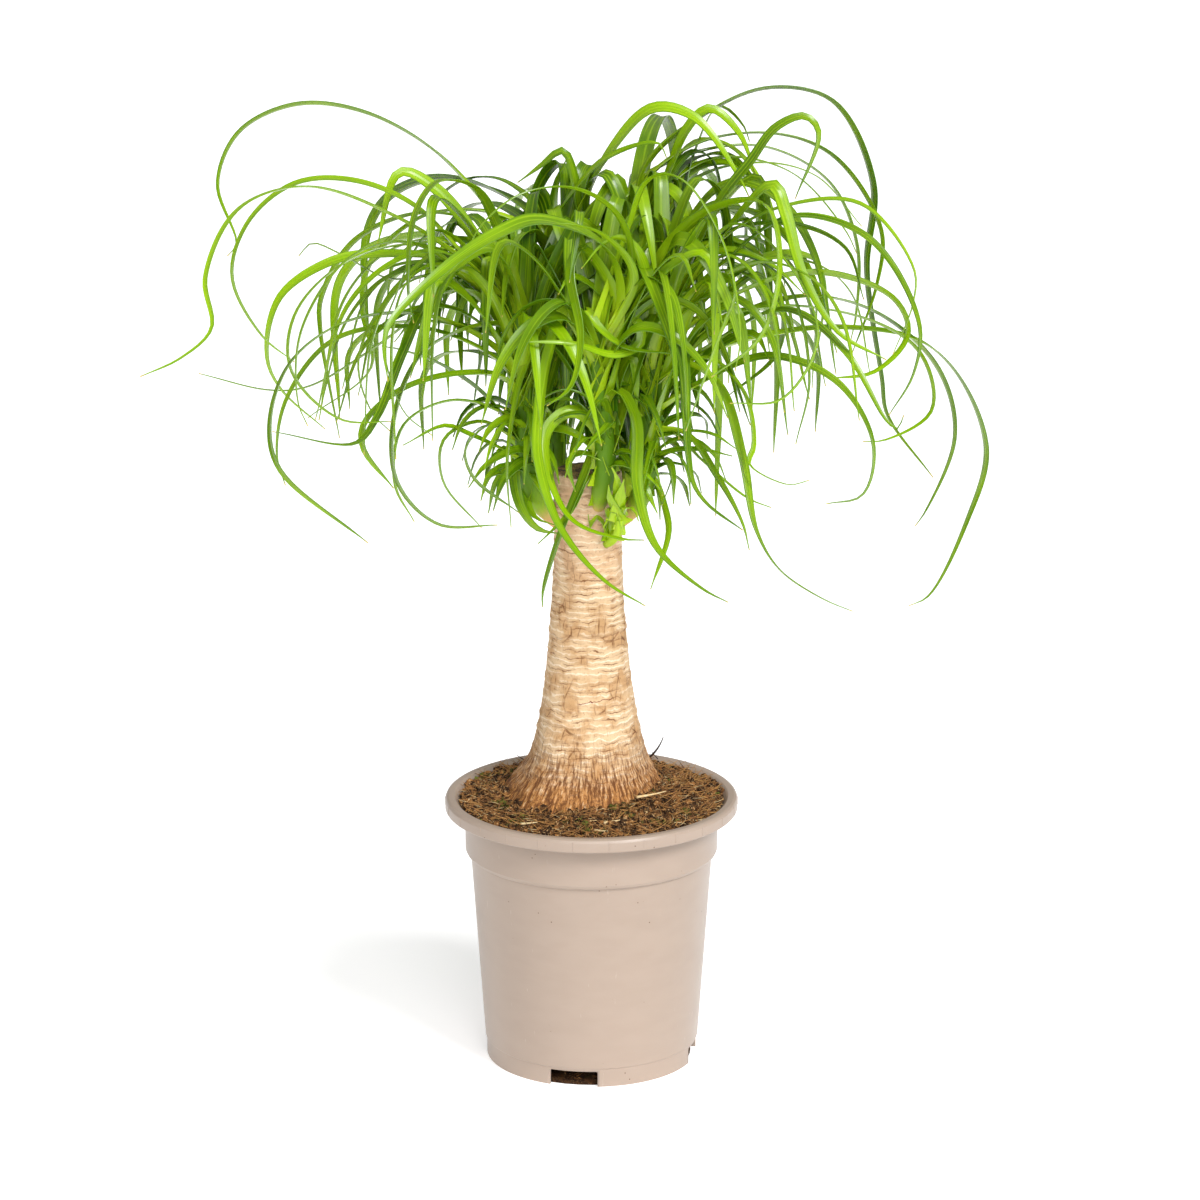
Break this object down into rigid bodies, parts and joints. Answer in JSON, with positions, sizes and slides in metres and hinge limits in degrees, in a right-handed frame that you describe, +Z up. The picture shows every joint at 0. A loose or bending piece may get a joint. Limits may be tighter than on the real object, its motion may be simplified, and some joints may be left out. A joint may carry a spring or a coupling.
{
  "type": "potted ponytail palm",
  "caption": "Ponytail palm with a flared ringed trunk and leafy shoots of long arching strap leaves, growing in a tapered round nursery pot.",
  "frame": {"origin": "on the floor under the pot's axis, which is the middle of the whole plant's footprint to within 5 mm", "axes": "+Z up along the trunk, -Y towards the viewer of the picture, +X to the viewer's right"},
  "size_m": [0.53, 0.389, 0.6324],
  "materials": {
    "pot_plastic": "satin injection-moulded polypropylene, warm taupe grey, light scuffs",
    "potting_soil": "loose brown peat and coir with pale fibres",
    "bark": "dry tan bark with leaf-scar rings, fine cracks and a fibrous brown foot",
    "leaf": "smooth semi-gloss living leaf with fine lengthwise veins",
    "young_leaf": "smooth pale yellow-green sheath of a young shoot"
  },
  "bodies": {
    "root": {"pot": "pot_plastic", "soil": "potting_soil", "trunk": "bark", "shoot_left": "leaf", "shoot_front": "leaf", "shoot_front_bud": "young_leaf", "shoot_right": "leaf", "shoot_back_left": "leaf", "shoot_back_right": "leaf"}
  },
  "joints": []
}
